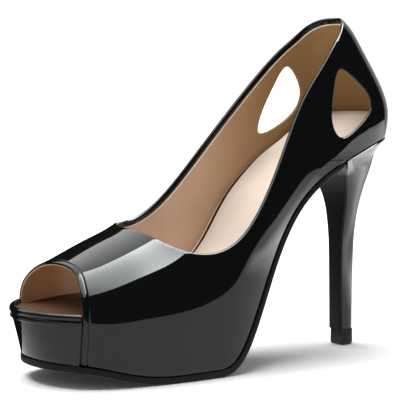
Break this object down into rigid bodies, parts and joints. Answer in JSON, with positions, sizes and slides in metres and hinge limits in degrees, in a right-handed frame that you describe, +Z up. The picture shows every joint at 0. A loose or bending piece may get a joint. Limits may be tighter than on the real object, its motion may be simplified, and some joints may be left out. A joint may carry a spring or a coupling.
{
  "type": "peep toe pump",
  "caption": "Patent peep toe pump with a hidden platform, a stiletto heel and a D-shaped cut-out on each side of the heel; left shoe.",
  "frame": {"origin": "middle of the bounding box at floor level", "axes": "+Z up, toe along -Y, heel towards +Y, outer side of this left shoe towards +X"},
  "size_m": [0.077, 0.2056, 0.1661],
  "materials": {
    "patent": "black patent, glossy, beige lining inside",
    "sock": "matt beige",
    "patent_trim": "black patent, glossy",
    "patent_panel": "black patent, glossy",
    "sole": "black, satin",
    "patent_heel": "black patent, glossy",
    "top_lift": "black, matt"
  },
  "bodies": {
    "root": {"upper": "patent", "insole": "sock", "toe_lip": "patent_trim", "platform": "patent_panel", "outsole": "sole", "heel": "patent_heel", "heel_tip": "top_lift"}
  },
  "joints": []
}
